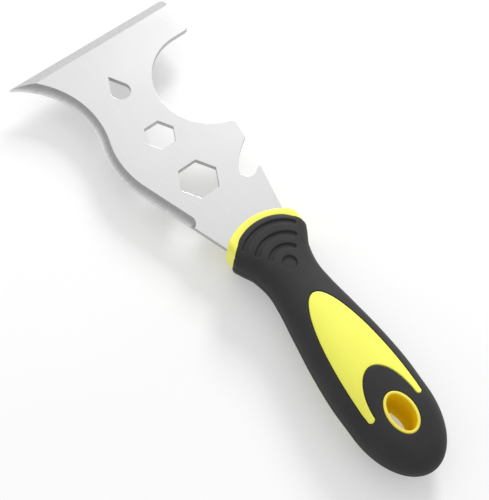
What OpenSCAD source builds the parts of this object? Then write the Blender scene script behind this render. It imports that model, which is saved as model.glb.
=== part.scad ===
// Painter's multi tool: one ground steel scraper blade with wrench holes, a roller
// scraper, a bottle opener notch and a hollow ground S-shaped cutting edge, held in a
// two-shell plastic core under a soft black grip with yellow inlays, collar and grommet.
// Frame: +X runs along the handle from the butt to the blade, +Z is the blade's ground
// face, and the origin is at the centre of the bounding box's bottom.

/* [Blade plate] */
// Thickness of the steel plate
blade_t = 2.2; // [1.2:0.1:4]
// Distance from the handle's dimple to the sharp front edge
front_x = 123; // [90:0.5:150]
// Low end of the front edge, measured from the line of holes
edge_low = -40; // [-50:0.5:-25]
// High end of the front edge, measured from the line of holes
edge_high = 33.3; // [20:0.1:45]
// Angle of the blade's line of holes to the handle's axis
blade_skew = 5.7; // [0:0.1:10]
// Sideways shift of the line of holes from the handle's axis
blade_shift = 2.1; // [-3:0.1:5]
// Width of the flat bevel behind the front edge
bevel_w = 4.3; // [1:0.1:8]
// Steel left at the ground edges
edge_land = 0.3; // [0.1:0.05:1]

/* [Blade holes] */
// Across flats of the large wrench hole (9/16 inch)
hex_large_af = 14.3; // [8:0.1:20]
// Across flats of the small wrench hole (7/16 inch)
hex_small_af = 11.1; // [6:0.1:16]
// Large wrench hole, distance along the line of holes
hex_large_x = 48.7; // [40:0.1:60]
// Small wrench hole, distance along the line of holes
hex_small_x = 72.3; // [60:0.1:85]
// Nail puller, centre of its round end along the line of holes
drop_x = 96.8; // [88:0.1:110]
// Nail puller, radius of its round end
drop_r = 3.9; // [2:0.1:6]
// Nail puller, distance from the round end's centre to its point
drop_tip = 8; // [5:0.1:12]

/* [Blade outline] */
// Radius of the roller scraper's arc
roller_r = 22.1; // [15:0.1:26]
// Centre of the roller scraper's arc along the line of holes
roller_x = 82.6; // [75:0.1:90]
// Centre of the roller scraper's arc across the line of holes
roller_y = -31.9; // [-36:0.1:-28]
// Radius of the swell in the S-shaped edge
swell_r = 39; // [25:0.5:60]
// Radius of the hollow in the S-shaped edge
dip_r = 33.5; // [20:0.5:50]
// Slope of the neck's straight run into the swell
neck_rise = 16.4; // [8:0.1:25]
// Radius of the grinding wheel that hollows the S-shaped edge
wheel_r = 4; // [3:0.1:6]
// Width of the hollow grind on the blade's face
grind_w = 3.2; // [2:0.1:3.5]
// Radius of the bottle opener's round throat
opener_r = 3.5; // [2.5:0.1:5]

/* [Handle] */
// Distance from the dimple back to the butt
butt_len = 87; // [70:0.5:110]
// Half of the handle's thickness at the palm
palm_h = 10.3; // [8:0.1:14]
// Thickness of the soft black skin
skin_t = 1.8; // [1:0.1:3]
// Radius of the black grip's round front, about the dimple
grip_front_r = 20.1; // [17:0.1:24]
// Radius of the collar's round front, about the dimple
collar_front_r = 23.1; // [20:0.1:27]
// Radius of the collar's round rear, about the dimple
collar_rear_r = 14; // [12:0.5:17]
// Half width of the collar's rim
rim_w = 15.1; // [13:0.1:16]
// Half thickness of the collar's rim
rim_h = 6.5; // [5:0.1:7.5]
// Half width of the collar's spigot inside the grip
spigot_w = 11.8; // [10:0.1:12.5]
// Half thickness of the collar's spigot inside the grip
spigot_h = 5.4; // [4:0.1:6]
// Gap ahead of the core at the collar's rear
core_gap = 0.2; // [0.05:0.05:0.5]

/* [Handle details] */
// Centre of the hanging hole behind the dimple
hang_x = -66; // [-75:0.5:-55]
// Hanging hole grommet, outer length and width
grommet_outer = [16.1, 11.3]; // [8:0.1:24]
// Hanging hole grommet, clear length and width
grommet_inner = [13.8, 8.7]; // [6:0.1:20]
// Inlay, distance from the dimple back to its round nose
inlay_nose = -14; // [-25:0.5:-8]
// Inlay, distance from the dimple back to its prong ends
inlay_end = -64; // [-72:0.5:-55]
// Inlay, half width at the prongs
inlay_half_w = 11.7; // [8:0.1:14]
// Radius of the dimple for the thumb
dimple_r = 2.8; // [2:0.1:4]
// Outer radii of the three thumb grooves
groove_r = [7.8, 12.8, 17.8]; // [5:0.1:20]
// Half angles that the three thumb grooves span
groove_a = [48, 44, 40]; // [20:1:70]
// Width of a thumb groove
groove_w = 2; // [1:0.1:3]
// Depth of the dimple and the thumb grooves
groove_d = 0.7; // [0.3:0.1:1.2]

/* [Tang] */
// Distance from the dimple back to the tang's round end
tang_len = 42; // [30:1:55]
// Half width of the tang
tang_half_w = 7; // [5:0.5:9]
// Radius of a locking pin
pin_r = 2.5; // [1.5:0.1:3.5]
// Positions of the locking pins along the handle
pin_x = [0, -30]; // [-36:1:4]
// Half length of a locking pin
pin_half_len = 5.5; // [4:0.1:7]

/* [Hidden] */
$fn = 96;
eps = 0.01;
far = 200;

steel = [0.87, 0.87, 0.88];
pin_steel = [0.62, 0.63, 0.65];
yellow = [0.98, 0.90, 0.30];
core_yellow = [0.93, 0.80, 0.22];
black = [0.17, 0.17, 0.18];

// Heights: the plate lies on the handle's mid-plane
mid_z = palm_h;
top_z = mid_z + blade_t / 2;
low_z = mid_z - blade_t / 2;

// S-shaped edge: straight run, swell and hollow, each tangent to the next
swell_c = [68, -16.5];
dip_x = 94;
dip_c = [dip_x, swell_c.y + sqrt(pow(swell_r + dip_r, 2) - pow(dip_x - swell_c.x, 2))];
swell_start = swell_c + swell_r * [-sin(neck_rise), cos(neck_rise)];
swell_end = swell_c + (dip_c - swell_c) * swell_r / (swell_r + dip_r);
neck_back_x = 5;
function neck_high(x) = swell_start.y + (x - swell_start.x) * tan(neck_rise);

// Lower outline: neck, hook, opener throat, lobe and roller scraper
neck_low_at_21 = -17.2;
neck_fall = 0.27;
function neck_low(x) = neck_low_at_21 - neck_fall * (x - 21);
hook_tip = [39.9, neck_low(39.9)];
hook_root = [38.9, -20.2];
opener_c = [41.3, -17.6];
throat_end = [43.9, -15.2];
lobe_tip = [52.3, -25.5];
wall_r = 39;
wall_c = [18.3, -44.6];
lobe_end = [61.03, -27.1];
lobe_round_c = [59.85, -25.25];
lobe_round_r = 1.6;
leg_back_x = roller_x + roller_r;
leg_round_r = 2.5;
leg_front_r = 1.5;

// Hollow grind: a round wheel whose centre runs above the plate just outside the edge
wheel_depth = blade_t - edge_land;
wheel_up = wheel_r - wheel_depth;
wheel_out = sqrt(wheel_r * wheel_r - wheel_up * wheel_up) - grind_w;
grind_start_x = 36.8;
// The straight stretch is ground this much less deep than the swell it runs into
grind_step = 0.02;

// Bounding box of the whole tool, which centres it on the origin
function from_blade(p) = [
    p.x * cos(blade_skew) - (p.y + blade_shift) * sin(blade_skew),
    p.x * sin(blade_skew) + (p.y + blade_shift) * cos(blade_skew)];
box_x_max = from_blade([front_x - leg_front_r, edge_low + leg_front_r]).x + leg_front_r;
box_y_max = from_blade([front_x, edge_high]).y;
box_y_min = from_blade([leg_back_x + leg_round_r, edge_low + leg_round_r]).y - leg_round_r;
box_mid = [(box_x_max - butt_len) / 2, (box_y_max + box_y_min) / 2, 0];

// Handle loft: stations along the handle as [x, half width, half height, squareness]
palm_x = -50;
cap_x = -62;
cap_w = 16;
cap_h = palm_h - 0.3;
stations = [
    [cap_x, cap_w, cap_h, 2.25],
    [palm_x, 16.1, palm_h, 2.25],
    [-36, 14.9, palm_h - 0.2, 2.3],
    [-22, 12.9, palm_h - 0.9, 2.3],
    [-10, 11.1, palm_h - 1.7, 2.35],
    [-3, 10.8, palm_h - 2, 2.45],
    [4, 12.3, palm_h - 2.2, 2.7],
    [9, 15, palm_h - 2.3, 3],
    [12.5, 16.4, palm_h - 2.4, 3.2],
    [16, 16.1, palm_h - 2.5, 3.2],
    [20, 15.2, palm_h - 2.7, 3.1],
    [25, 13.8, palm_h - 3, 3]];
steps = 2;
ring_points = 36;
cap_angles = [86, 74, 62, 50, 39, 28, 18, 9];
inlay_round_x = -60;
inlay_arch = [16.5, 8.8];
prong_r = 1.55;

function clamp_i(i) = min(max(i, 0), len(stations) - 1);
function catmull(a, b, c, d, t) = 0.5 * (2 * b + (c - a) * t
    + (2 * a - 5 * b + 4 * c - d) * t * t
    + (3 * b - a - 3 * c + d) * t * t * t);
function blend(i, t) = let (
    a = stations[clamp_i(i - 1)],
    b = stations[i],
    c = stations[clamp_i(i + 1)],
    d = stations[clamp_i(i + 2)],
    s = catmull(a, b, c, d, t))
    [b.x + (c.x - b.x) * t, s[1], s[2], s[3]];
// Round butt: the sections shrink along a quarter ellipse
function cap_section(a, g) = [
    cap_x - (butt_len + cap_x - g) * sin(a),
    (cap_w - g) * cos(a),
    (cap_h - g) * cos(a),
    stations[0][3]];
function inset(s, g) = [s[0], s[1] - g, s[2] - g, s[3]];
function sections(g) = concat(
    [for (a = cap_angles) cap_section(a, g)],
    [for (i = [0:len(stations) - 2], k = [0:steps - 1]) inset(blend(i, k / steps), g)],
    [inset(stations[len(stations) - 1], g)]);
function bulge(c, n) = sign(c) * pow(abs(c), 2 / n);
function ring(s) = [for (k = [0:ring_points - 1]) let (a = 360 * k / ring_points)
    [s[0], s[1] * bulge(cos(a), s[3]), mid_z + s[2] * bulge(sin(a), s[3])]];

// Stretch of handle between two neighbouring sections
module between(s1, s2) {
    near = [for (k = [0:ring_points - 1]) k];
    hull()
        polyhedron(
            points = concat(ring(s1), ring(s2)),
            faces = [near, [for (k = near) 2 * ring_points - 1 - k]]);
}

// Whole handle surface, moved inward by g
module handle_body(g) {
    list = sections(g);
    for (j = [0:len(list) - 2])
        between(list[j], list[j + 1]);
}

// Puts blade coordinates into the handle's frame
module on_blade() {
    rotate([0, 0, blade_skew])
        translate([0, blade_shift])
            children();
}

// Points on an arc of radius r about c, from angle a0 to a1, about one every step degrees
function arc(c, r, a0, a1, step = 4) = let (n = ceil(abs(a1 - a0) / step))
    [for (i = [0:n]) c + r * [cos(a0 + (a1 - a0) * i / n), sin(a0 + (a1 - a0) * i / n)]];
function angle_to(c, p) = atan2(p.y - c.y, p.x - c.x);

module plate_2d() {
    swell_a = angle_to(swell_c, swell_end);
    dip_a = swell_a + 180;
    tip_a = 360 - acos((front_x - 0.6 - dip_c.x) / dip_r);
    lobe_a = angle_to(lobe_round_c, [roller_x, roller_y]);
    outline = concat(
        // Neck up to the hook, round throat and curved wall to the lobe's point
        [[neck_back_x, neck_low(neck_back_x)], hook_tip],
        arc(opener_c, opener_r, angle_to(opener_c, hook_root), angle_to(opener_c, throat_end) - 360, 8),
        arc(wall_c, wall_r, angle_to(wall_c, throat_end), angle_to(wall_c, lobe_tip), 3),
        // Lobe's rounded corner and the roller scraper
        arc(lobe_round_c, lobe_round_r, -100.4, lobe_a, 20),
        arc([roller_x, roller_y], roller_r, lobe_a + 180, 0, 4),
        // Leg and front edge
        arc([leg_back_x + leg_round_r, edge_low + leg_round_r], leg_round_r, 180, 270, 15),
        arc([front_x - leg_front_r, edge_low + leg_front_r], leg_front_r, -90, 0, 15),
        [[front_x, edge_high]],
        // S-shaped edge from the tip back to the neck
        arc(dip_c, dip_r, tip_a, dip_a, 4),
        arc(swell_c, swell_r, swell_a, 90 + neck_rise, 4),
        [[neck_back_x, neck_high(neck_back_x)]]);
    difference() {
        polygon(outline);
        // Wrench holes
        translate([hex_large_x, 0])
            rotate(30)
                circle(r = hex_large_af / sqrt(3), $fn = 6);
        translate([hex_small_x, 0])
            rotate(30)
                circle(r = hex_small_af / sqrt(3), $fn = 6);
        // Nail puller
        drop_a = acos(drop_r / drop_tip);
        polygon(concat([[drop_x + drop_tip, 0]], arc([drop_x, 0], drop_r, drop_a, 360 - drop_a, 8)));
    }
}

// Narrow end of the plate that the handle holds
module tang_2d() {
    polygon(concat(
        [[neck_back_x + 3, tang_half_w]],
        arc([tang_half_w - tang_len, 0], tang_half_w, 90, 270, 15),
        [[neck_back_x + 3, -tang_half_w]]));
}

// Section of the grinding wheel, with its centre above x = 0. Its round side hollows the
// steel at -x, and its flank clears the edge at +x.
module wheel_2d() {
    face_a = 180 + asin(wheel_up / wheel_r);
    reach = wheel_r * cos(face_a);
    polygon(concat(
        arc([0, wheel_up], wheel_r, face_a, 270, 9),
        [[wheel_r, wheel_up - wheel_r], [wheel_r, 1], [reach, 1]]));
}

// Dish that the wheel leaves where the hollow grind runs out on the neck
module run_out() {
    face_a = -asin(wheel_up / wheel_r);
    rotate([0, 0, neck_rise + 180])
        rotate_extrude(angle = 90)
            polygon(concat(
                arc([0, wheel_up], wheel_r, -90, face_a, 9),
                [[wheel_r * cos(face_a), 1], [0, 1]]));
}

// Path of the grinding wheel along the S-shaped edge
module hollow_grind() {
    swell_a = angle_to(swell_c, swell_end);
    out = (wheel_out + grind_step) * [-sin(neck_rise), cos(neck_rise)];
    run_start = [grind_start_x, neck_high(grind_start_x)];
    translate([0, 0, top_z]) {
        // Straight run beside the neck
        translate(run_start + out) {
            run_out();
            rotate([0, 0, neck_rise])
                rotate([90, 0, 90])
                    linear_extrude(height = norm(swell_start - run_start))
                        wheel_2d();
        }
        // Swell
        translate(swell_c)
            rotate([0, 0, swell_a])
                rotate_extrude(angle = 90 + neck_rise - swell_a)
                    translate([swell_r + wheel_out, 0])
                        wheel_2d();
        // Hollow up to the tip
        translate(dip_c)
            rotate([0, 0, swell_a - 180])
                rotate_extrude(angle = 80)
                    translate([dip_r - wheel_out, 0])
                        mirror([1, 0])
                            wheel_2d();
    }
}

// Wedge of steel ground away above the front bevel
module front_bevel() {
    translate([0, edge_high + 20, top_z])
        rotate([90, 0, 0])
            linear_extrude(height = edge_high - edge_low + 40)
                polygon([
                    [front_x - bevel_w, 0],
                    [front_x, edge_land - blade_t],
                    [front_x + 5, edge_land - blade_t],
                    [front_x + 5, 5],
                    [front_x - bevel_w, 5]]);
}

module plate() {
    on_blade()
        translate([0, 0, low_z])
            linear_extrude(height = blade_t)
                plate_2d();
    translate([0, 0, low_z])
        linear_extrude(height = blade_t)
            tang_2d();
}

module pins() {
    for (x = pin_x)
        translate([x, 0, mid_z - pin_half_len])
            cylinder(r = pin_r, h = 2 * pin_half_len);
}

module blade() {
    color(steel)
        translate(-box_mid)
            difference() {
                plate();
                on_blade() {
                    hollow_grind();
                    front_bevel();
                }
                pins();
            }
}

module tang_pins() {
    color(pin_steel)
        translate(-box_mid)
            pins();
}

// Upright elliptical column of full length and width d
module ellipse_column(d) {
    translate([hang_x, 0, -far / 2])
        scale([d.x / d.y, 1, 1])
            cylinder(d = d.y, h = far, $fn = 64);
}

// Plan of an inlay: a long half ellipse with an arch cut out behind it, leaving two prongs
module inlay_2d() {
    prong_y = (inlay_half_w + inlay_arch.y) / 2;
    difference() {
        translate([inlay_round_x, 0])
            scale([(inlay_nose - inlay_round_x) / inlay_half_w, 1])
                circle(r = inlay_half_w, $fn = 64);
        translate([inlay_end, 0])
            scale([inlay_arch.x / inlay_arch.y, 1])
                circle(r = inlay_arch.y, $fn = 64);
        translate([inlay_end + prong_r - far, -far / 2])
            square(far);
    }
    for (s = [-1, 1])
        translate([inlay_end + prong_r, s * prong_y])
            circle(r = prong_r, $fn = 24);
}

module inlay_column(z_from) {
    translate([0, 0, z_from])
        linear_extrude(height = far / 2)
            inlay_2d();
}

// Space ahead of the radius r about the dimple
module ahead_of(r) {
    translate([0, 0, -far / 2])
        difference() {
            translate([collar_rear_r / 4, -far / 2])
                cube([far, far, far]);
            cylinder(r = r, h = far);
        }
}

// Rounded bar along the handle, of half width w and half height h
module bar(w, h, r) {
    rotate([90, 0, 90])
        linear_extrude(height = far / 8) {
            translate([-w + r, mid_z - h])
                square([2 * (w - r), 2 * h]);
            translate([-w, mid_z - h + r])
                square([2 * w, 2 * (h - r)]);
            for (sx = [-1, 1], sy = [-1, 1])
                translate([sx * (w - r), mid_z + sy * (h - r)])
                    circle(r = r);
        }
}

// Ring about the dimple from radius r_in to r_out, with its front edge rounded by r
module front_ring(r_in, r_out, h, r) {
    translate([0, 0, mid_z])
        rotate_extrude() {
            translate([r_in, -h])
                square([r_out - r - r_in, 2 * h]);
            translate([r_out - r - eps, -h + r])
                square([r + eps, 2 * (h - r)]);
            for (s = [-1, 1])
                translate([r_out - r, s * (h - r)])
                    circle(r = r);
        }
}

// Part of the collar that lies under the black skin
module spigot(r_out) {
    intersection() {
        bar(spigot_w, spigot_h, 2);
        front_ring(collar_rear_r, r_out, spigot_h, 1);
    }
}

// Rim ahead of the black skin
module rim() {
    intersection() {
        bar(rim_w, rim_h, 2.5);
        front_ring(grip_front_r, collar_front_r, rim_h, 1.4);
    }
}

module core_half(z_from) {
    color(core_yellow)
        translate(-box_mid)
            difference() {
                intersection() {
                    handle_body(skin_t);
                    translate([-far, -far, z_from])
                        cube([2 * far, 2 * far, far]);
                }
                ahead_of(collar_rear_r);
                plate();
                pins();
                ellipse_column(grommet_outer);
            }
}

module core_front() {
    core_half(mid_z);
}

module core_back() {
    core_half(mid_z - far);
}

module collar() {
    color(yellow)
        translate(-box_mid)
            difference() {
                union() {
                    spigot((grip_front_r + collar_front_r) / 2);
                    rim();
                }
                plate();
            }
}

module hang_grommet() {
    color(yellow)
        translate(-box_mid)
            intersection() {
                handle_body(0);
                difference() {
                    ellipse_column(grommet_outer);
                    ellipse_column(grommet_inner);
                }
            }
}

module inlay(z_from) {
    color(yellow)
        translate(-box_mid)
            difference() {
                intersection() {
                    handle_body(0);
                    inlay_column(z_from);
                }
                handle_body(skin_t);
            }
}

module inlay_front() {
    inlay(mid_z);
}

module inlay_back() {
    inlay(mid_z - far / 2);
}

// Plan of a thumb groove: an arc about the dimple with round ends
module groove_2d(r, a) {
    mid_r = r - groove_w / 2;
    end = mid_r * [cos(a), sin(a)];
    polygon(concat(
        arc([0, 0], r, -a, a, 5),
        arc(end, groove_w / 2, a, a + 180, 30),
        arc([0, 0], r - groove_w, a, -a, 5),
        arc([end.x, -end.y], groove_w / 2, 180 - a, 360 - a, 30)));
}

// Dimple and grooves as deep columns
module thumb_columns() {
    translate([0, 0, -far / 2]) {
        cylinder(r = dimple_r, h = far, $fn = 24);
        linear_extrude(height = far)
            for (i = [0:2])
                groove_2d(groove_r[i], groove_a[i]);
    }
}

module grip() {
    color(black)
        translate(-box_mid)
            difference() {
                handle_body(0);
                // Core, collar and blade inside the skin
                difference() {
                    handle_body(skin_t);
                    ahead_of(collar_rear_r + core_gap);
                }
                spigot(far / 8);
                plate();
                // Round front end
                ahead_of(grip_front_r);
                // Windows for the grommet and the inlays
                ellipse_column(grommet_outer);
                inlay_column(mid_z);
                inlay_column(mid_z - far / 2);
                // Dimple and grooves, of even depth below the surface
                difference() {
                    thumb_columns();
                    handle_body(groove_d);
                }
            }
}

blade();
tang_pins();
core_front();
core_back();
collar();
hang_grommet();
inlay_front();
inlay_back();
grip();
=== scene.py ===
import math

import bpy
import numpy as np
from mathutils import Matrix, Vector
from mathutils.geometry import delaunay_2d_cdt


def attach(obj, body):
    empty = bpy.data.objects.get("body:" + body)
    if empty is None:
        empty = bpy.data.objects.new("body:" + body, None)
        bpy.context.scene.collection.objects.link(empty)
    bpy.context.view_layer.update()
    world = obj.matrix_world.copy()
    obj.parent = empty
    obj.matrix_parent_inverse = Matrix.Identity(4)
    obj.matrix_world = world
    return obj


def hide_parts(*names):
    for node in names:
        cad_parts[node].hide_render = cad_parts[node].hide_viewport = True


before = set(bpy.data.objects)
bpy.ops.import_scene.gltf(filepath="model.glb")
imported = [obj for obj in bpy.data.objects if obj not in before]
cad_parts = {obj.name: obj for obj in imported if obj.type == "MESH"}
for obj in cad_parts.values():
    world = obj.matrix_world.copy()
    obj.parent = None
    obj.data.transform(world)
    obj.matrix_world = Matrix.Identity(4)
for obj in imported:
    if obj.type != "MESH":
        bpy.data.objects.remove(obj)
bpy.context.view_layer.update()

# ------------------------------------------------------------------ sizes, in mm
# Tool frame: x along the handle from the dimple to the blade, z up from the plate's mid-plane.
# Blade frame: the same, turned by SKEW and shifted by SHIFT, with y = 0 on the line of holes.
SKEW, SHIFT = math.radians(5.7), 2.1
BLADE_T, FRONT_X, EDGE_LOW, EDGE_HIGH = 2.2, 123.0, -40.0, 33.3
BEVEL_W, LAND = 4.3, 0.3
HEXES = [(48.7, 14.3), (72.3, 11.1)]
DROP_X, DROP_R, DROP_TIP = 96.8, 3.9, 8.0
ROLLER_C, ROLLER_R = np.array([82.6, -31.9]), 22.1
SWELL_C, SWELL_R, DIP_R, DIP_X = np.array([68.0, -16.5]), 39.0, 33.5, 94.0
NECK_RISE = math.radians(16.4)
NECK_BACK_X = 5.0
NECK_LOW_X, NECK_LOW_Y, NECK_LOW_SLOPE = 21, -17.2, 0.27
WHEEL_R, GRIND_W, GRIND_START_X = 4.0, 3.2, 36.8
OPENER_C, OPENER_R = np.array([41.3, -17.6]), 3.5
WALL_C, WALL_R = np.array([18.3, -44.6]), 39.0
LOBE_C, LOBE_R, LOBE_START_A = np.array([59.85, -25.25]), 1.6, -100.4
NECK_END_X = 39.9
HOOK_ROOT, WALL_START, WALL_END = (38.9, -20.2), (43.9, -15.2), (52.3, -25.5)
LEG_R, LEG_FRONT_R = 2.5, 1.5
TANG_LEN, TANG_W = 42.0, 7.0   # TANG_W is half the tang's width
EDGE_ROUND = 0.07              # radius of the plate's small edge rounds
ROUND_SHARES = (0.134, 0.5, 1.0, 2.2)   # rings of points along a round, in its radii
GRIND_LINES = (0.35, 0.7, 1.1, 1.5, 1.9, 2.3, 2.65, 2.95, 3.2, 3.45)
GRIND_FACE_Y = -5              # the ground edge lies wholly above this y
BUTT_LEN, PALM_H = 87.0, 10.3
CAP_X, CAP_W, CAP_H = -62.0, 16.0, 10.0
GRIP_R, COLLAR_R, COLLAR_REAR_R = 20.1, 23.1, 14.0
SKIN = 1.8
CAP_LEN = 20.0                 # length given to the round butt in the unrolled plane
ROLL = 13.0                    # mm of unrolled width for each radian around the handle
LIP_ROUND, LIP_DROP = 1.2, 0.62         # reach and depth of the grip's rounded front lip
PARTING_W, PARTING_D = 0.42, 0.28       # half width and depth of the parting groove
WINDOW_ROUND = 0.34            # radius of the rounds along the inlay and its window
GROMMET_ROUND = 0.3
INLAY_GAP, GROMMET_GAP = 0.2, 0.12      # from the grip's window to the piece in it
COLLAR_HALF = (15.1, 6.5)      # half width and half height of the collar
SPIGOT_HALF = (11.8, 5.4)      # the same for its part under the grip
COLLAR_CORNER, COLLAR_ROUND = 2.6, 1.3
SLOT_GAP = 0.08                # free space above and below the plate in the collar's slot
HANG_X = -66.0
GROMMET_OUT, GROMMET_IN = (16.1, 11.3), (13.8, 8.7)
GROOVE_R, GROOVE_A, GROOVE_W, GROOVE_D, DIMPLE_R = (7.8, 12.8, 17.8), (48, 44, 40), 2.0, 0.7, 2.8
STATIONS = [
    (CAP_X, CAP_W, CAP_H, 2.25), (-50, 16.1, 10.3, 2.25), (-36, 14.9, 10.1, 2.3),
    (-22, 12.9, 9.4, 2.3), (-10, 11.1, 8.6, 2.35), (-3, 10.8, 8.3, 2.45), (4, 12.3, 8.1, 2.7),
    (9, 15.0, 8.0, 3.0), (12.5, 16.4, 7.9, 3.2), (16, 16.1, 7.8, 3.2), (20, 15.2, 7.6, 3.1),
    (25, 13.8, 7.3, 3.0)]
TOP, LOW = BLADE_T / 2, -BLADE_T / 2

DIP_C = np.array([DIP_X, SWELL_C[1] + math.sqrt((SWELL_R + DIP_R) ** 2 - (DIP_X - SWELL_C[0]) ** 2)])
SWELL_START = SWELL_C + SWELL_R * np.array([-math.sin(NECK_RISE), math.cos(NECK_RISE)])
SWELL_END = SWELL_C + (DIP_C - SWELL_C) * SWELL_R / (SWELL_R + DIP_R)
WHEEL_UP = WHEEL_R - (BLADE_T - LAND)
WHEEL_OUT = math.sqrt(WHEEL_R ** 2 - WHEEL_UP ** 2) - GRIND_W


def neck_high(x):
    """Y of the neck's edge on the S side, in the blade frame."""
    return SWELL_START[1] + (x - SWELL_START[0]) * math.tan(NECK_RISE)


def neck_low(x):
    """Y of the neck's edge on the opener's side, in the blade frame."""
    return NECK_LOW_Y - NECK_LOW_SLOPE * (x - NECK_LOW_X)


def from_blade(p):
    """Blade frame to tool frame, in plan."""
    p = np.asarray(p, float)
    x, y = p[..., 0], p[..., 1] + SHIFT
    c, s = math.cos(SKEW), math.sin(SKEW)
    return np.stack([c * x - s * y, s * x + c * y], -1)


def to_blade(p):
    """The plan of one tool-frame point in the blade frame, as a list of one."""
    c, s = math.cos(SKEW), math.sin(SKEW)
    return np.array([[c * p[0] + s * p[1], -s * p[0] + c * p[1] - SHIFT]])


LEG_BACK_X = ROLLER_C[0] + ROLLER_R
BOX_X_MAX = from_blade([FRONT_X - LEG_FRONT_R, EDGE_LOW + LEG_FRONT_R])[0] + LEG_FRONT_R
BOX_Y_MAX = from_blade([FRONT_X, EDGE_HIGH])[1]
BOX_Y_MIN = from_blade([LEG_BACK_X + LEG_R, EDGE_LOW + LEG_R])[1] - LEG_R
MID = np.array([(BOX_X_MAX - BUTT_LEN) / 2, (BOX_Y_MAX + BOX_Y_MIN) / 2, -PALM_H])


def to_row(p):
    """Tool frame in mm to the row frame in metres."""
    return (np.asarray(p, float) - MID) * 0.001


# ------------------------------------------------------------------ plane geometry
def arc(c, r, a0, a1, step):
    """Points along an arc from a0 to a1 degrees, at most step degrees apart."""
    n = max(2, int(math.ceil(abs(a1 - a0) / step)))
    t = np.radians(np.linspace(a0, a1, n + 1))
    return np.stack([c[0] + r * np.cos(t), c[1] + r * np.sin(t)], 1)


def angle(c, p):
    """Direction from c to p in degrees."""
    return math.degrees(math.atan2(p[1] - c[1], p[0] - c[0]))


def dedupe(p, tol=1e-4):
    """The loop without points that repeat the one before."""
    keep = [0]
    for i in range(1, len(p)):
        if np.linalg.norm(p[i] - p[keep[-1]]) > tol:
            keep.append(i)
    if np.linalg.norm(p[keep[-1]] - p[keep[0]]) < tol:
        keep.pop()
    return p[keep]


def refine(p, step, closed=True):
    """The line with points added, so that none is further than step from the next."""
    out, n = [], len(p)
    for i in range(n if closed else n - 1):
        a, b = p[i], p[(i + 1) % n]
        k = max(1, int(math.ceil(np.linalg.norm(b - a) / step)))
        out += [a + (b - a) * j / k for j in range(k)]
    if not closed:
        out.append(p[-1])
    return np.array(out)


def area(p):
    """Signed area, positive for an anticlockwise loop."""
    x, y = p[:, 0], p[:, 1]
    return 0.5 * np.sum(x * np.roll(y, -1) - np.roll(x, -1) * y)


def offset(p, d):
    """The closed loop moved by d to the left of its direction, with mitred corners."""
    t = np.roll(p, -1, 0) - p
    t /= np.linalg.norm(t, axis=1)[:, None]
    n1 = np.stack([-t[:, 1], t[:, 0]], 1)
    n0 = np.roll(n1, 1, 0)
    m = n0 + n1
    m /= np.maximum(np.linalg.norm(m, axis=1), 1e-9)[:, None]
    k = np.clip((m * n1).sum(1), 0.35, 1)
    return p + m * (d / k)[:, None]


def inside(q, p):
    """Whether each point of q lies in the closed loop p."""
    res = np.zeros(len(q), bool)
    a, b = p, np.roll(p, -1, 0)
    for i in range(len(p)):
        cross = (a[i, 1] > q[:, 1]) != (b[i, 1] > q[:, 1])
        dy = b[i, 1] - a[i, 1]
        if dy == 0:
            continue
        res ^= cross & (q[:, 0] < a[i, 0] + (q[:, 1] - a[i, 1]) * (b[i, 0] - a[i, 0]) / dy)
    return res


def distance(q, p, closed=True):
    """The distance from each point of q to the line p."""
    a = p if closed else p[:-1]
    b = np.roll(p, -1, 0) if closed else p[1:]
    best = np.full(len(q), 1e9)
    for i in range(len(a)):
        d = b[i] - a[i]
        t = np.clip(((q - a[i]) @ d) / max(d @ d, 1e-12), 0, 1)
        best = np.minimum(best, np.linalg.norm(q - a[i] - t[:, None] * d, axis=1))
    return best


def triangulate(loops, lines, points):
    """Delaunay triangles that keep the loops' and lines' edges."""
    verts, edges = [], []
    for p, closed in [(l, True) for l in loops] + [(l, False) for l in lines]:
        base, n = len(verts), len(p)
        verts += [Vector((float(v[0]), float(v[1]))) for v in p]
        edges += [(base + i, base + (i + 1) % n) for i in range(n if closed else n - 1)]
    verts += [Vector((float(v[0]), float(v[1]))) for v in points]
    v, _, f, _, _, _ = delaunay_2d_cdt(verts, edges, [], 0, 1e-5)
    return np.array([tuple(q) for q in v], float), np.array([tuple(t) for t in f], int)


def grid(box, step):
    """Points of a triangular grid over box."""
    x0, x1, y0, y1 = box
    rows = []
    ny = int(math.ceil((y1 - y0) / (step * 0.87)))
    for j in range(ny + 1):
        y = y0 + (y1 - y0) * j / ny
        xs = np.arange(x0 + (0.5 * step if j % 2 else 0), x1, step)
        rows.append(np.stack([xs, np.full(len(xs), y)], 1))
    return np.vstack(rows)


def boundary(tris):
    """Directed edges that only one triangle has."""
    e = np.vstack([tris[:, [0, 1]], tris[:, [1, 2]], tris[:, [2, 0]]])
    have = {(a, b) for a, b in e.tolist()}
    return [(a, b) for a, b in e.tolist() if (b, a) not in have]


def chains(edges):
    """Directed edges joined into closed loops of vertex numbers."""
    nxt = dict(edges)
    out = []
    while nxt:
        a = next(iter(nxt))
        loop = [a]
        b = nxt.pop(a)
        while b != a:
            loop.append(b)
            b = nxt.pop(b)
        out.append(loop)
    return out


def used_only(v, f):
    """The points that faces use, and the faces renumbered."""
    ids = np.unique(f)
    back = np.full(len(v), -1)
    back[ids] = np.arange(len(ids))
    return v[ids], back[f]


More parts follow.
